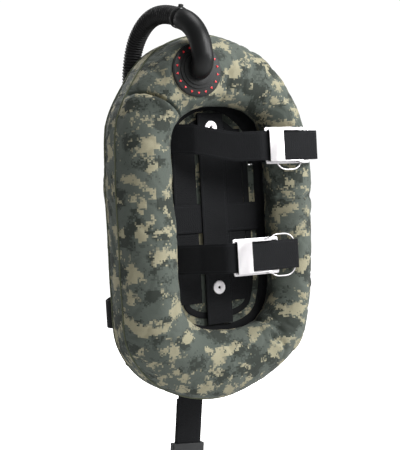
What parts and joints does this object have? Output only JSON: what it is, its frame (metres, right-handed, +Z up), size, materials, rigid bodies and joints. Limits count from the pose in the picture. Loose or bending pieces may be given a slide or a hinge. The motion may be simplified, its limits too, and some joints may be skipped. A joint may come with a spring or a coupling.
{
  "type": "buoyancy compensator vest",
  "caption": "Ring wing buoyancy compensator with backplate harness, two tank bands, corrugated inflator hose and dump valve.",
  "frame": {"origin": "midway between the two backplate bolts, on the tank side face of the wing's centre panel", "axes": "+Z up along the diver's spine, -Y towards the tank, +X to the diver's right"},
  "size_m": [0.38, 0.3349, 0.8466],
  "materials": {
    "camo_fabric": "woven polyester with a square-patch camouflage print",
    "bladder_film": "coated film",
    "binding": "woven tape",
    "webbing": "heavy nylon webbing",
    "plate_metal": "satin",
    "pad_foam": "padded mesh",
    "steel": "polished stainless",
    "black_plastic": "moulded",
    "grey_plastic": "moulded",
    "button_grey": "moulded",
    "red_marks": "moulded",
    "hose_rubber": "satin rubber",
    "seal_rubber": "soft rubber",
    "cord": "braided cord"
  },
  "bodies": {
    "vest": {"wing_cover": "camo_fabric", "centre_panel": "camo_fabric", "air_bladder": "bladder_film", "outer_binding": "binding", "inner_ring_tape": "binding", "side_strips": "webbing", "cross_strap": "webbing", "spine_strap": "webbing", "backplate": "plate_metal", "back_pad": "pad_foam", "plate_screws": "steel", "plate_washers": "steel", "plate_nuts": "steel", "elbow_flange": "black_plastic", "flange_gasket": "seal_rubber", "flange_nut_ring": "black_plastic", "flange_dots": "red_marks", "elbow": "hose_rubber", "inflator_hose": "hose_rubber", "hose_tie_upper": "black_plastic", "hose_tie_lower": "black_plastic", "inflator_body": "black_plastic", "feed_nipple": "steel", "mouthpiece": "seal_rubber", "inflate_button_spring": "steel", "deflate_button_spring": "steel", "dump_seat": "black_plastic", "dump_nut_ring": "black_plastic", "dump_cap": "black_plastic", "dump_spring": "steel", "shoulder_slides": "steel", "waist_slides": "steel", "ring_keepers": "webbing", "left_shoulder_strap": "webbing", "left_waist_strap": "webbing", "right_shoulder_strap": "webbing", "right_waist_strap": "webbing", "upper_band": "webbing", "lower_band": "webbing", "upper_band_buckle_frame": "steel", "upper_band_buckle_pin": "steel", "lower_band_buckle_frame": "steel", "lower_band_buckle_pin": "steel", "waist_buckle_frame": "steel", "waist_buckle_pin": "steel"},
    "upper_lever": {"upper_band_buckle_lever": "steel"},
    "lower_lever": {"lower_band_buckle_lever": "steel"},
    "waist_lever": {"waist_buckle_lever": "steel"},
    "upper_band_link": {"upper_band_ring": "steel"},
    "lower_band_link": {"lower_band_ring": "steel"},
    "inflate_plunger": {"inflate_button": "button_grey"},
    "deflate_plunger": {"deflate_button": "button_grey"},
    "dump_pull": {"dump_disc": "seal_rubber", "dump_pull_cord": "cord", "dump_knob": "black_plastic"},
    "left_chest_ring": {"left_shoulder_ring": "steel"},
    "right_chest_ring": {"right_shoulder_ring": "steel"},
    "left_hip_ring": {"hip_ring": "steel"},
    "crotch": {"crotch_strap": "webbing", "crotch_slide": "grey_plastic"}
  },
  "joints": [
    {"name": "upper_buckle_hinge", "type": "hinge", "parent": "vest", "child": "upper_lever", "pos_m": [0.128, -0.0955, 0.1], "axis": [0, 0, 1], "range_deg": [0, 150]},
    {"name": "lower_buckle_hinge", "type": "hinge", "parent": "vest", "child": "lower_lever", "pos_m": [0.058, -0.0895, -0.086], "axis": [0, 0, 1], "range_deg": [0, 150]},
    {"name": "waist_buckle_hinge", "type": "hinge", "parent": "vest", "child": "waist_lever", "pos_m": [-0.012, 0.2033, -0.181], "axis": [0, 0, 1], "range_deg": [0, 140]},
    {"name": "upper_band_ring_slide", "type": "slide", "parent": "vest", "child": "upper_band_link", "axis": [1, 0, 0], "range_m": [-0.012, 0.006]},
    {"name": "lower_band_ring_slide", "type": "slide", "parent": "vest", "child": "lower_band_link", "axis": [1, 0, 0], "range_m": [-0.012, 0.001]},
    {"name": "inflate_press", "type": "slide", "parent": "vest", "child": "inflate_plunger", "axis": [0, -1, 0], "range_m": [0, 0.004], "stiffness_N_per_m": 800, "deforming": ["inflate_button_spring"]},
    {"name": "deflate_press", "type": "slide", "parent": "vest", "child": "deflate_plunger", "axis": [0, 0, 1], "range_m": [0, 0.004], "stiffness_N_per_m": 800, "deforming": ["deflate_button_spring"]},
    {"name": "dump_pull_slide", "type": "slide", "parent": "vest", "child": "dump_pull", "axis": [0, 1, 0], "range_m": [0, 0.007], "stiffness_N_per_m": 300, "deforming": ["dump_spring"]},
    {"name": "left_chest_ring_swing", "type": "hinge", "parent": "vest", "child": "left_chest_ring", "pos_m": [-0.055, 0.1662, 0.06], "axis": [1, 0, 0], "range_deg": [0, 150]},
    {"name": "right_chest_ring_swing", "type": "hinge", "parent": "vest", "child": "right_chest_ring", "pos_m": [0.055, 0.1662, 0.06], "axis": [1, 0, 0], "range_deg": [0, 150]},
    {"name": "hip_ring_swing", "type": "hinge", "parent": "vest", "child": "left_hip_ring", "pos_m": [-0.09837, 0.19652, -0.181], "axis": [0, 0, 1], "range_deg": [0, 110]},
    {"name": "crotch_strap_swing", "type": "hinge", "parent": "vest", "child": "crotch", "pos_m": [0, 0.009, -0.19], "axis": [1, 0, 0], "range_deg": [0, 38]}
  ]
}
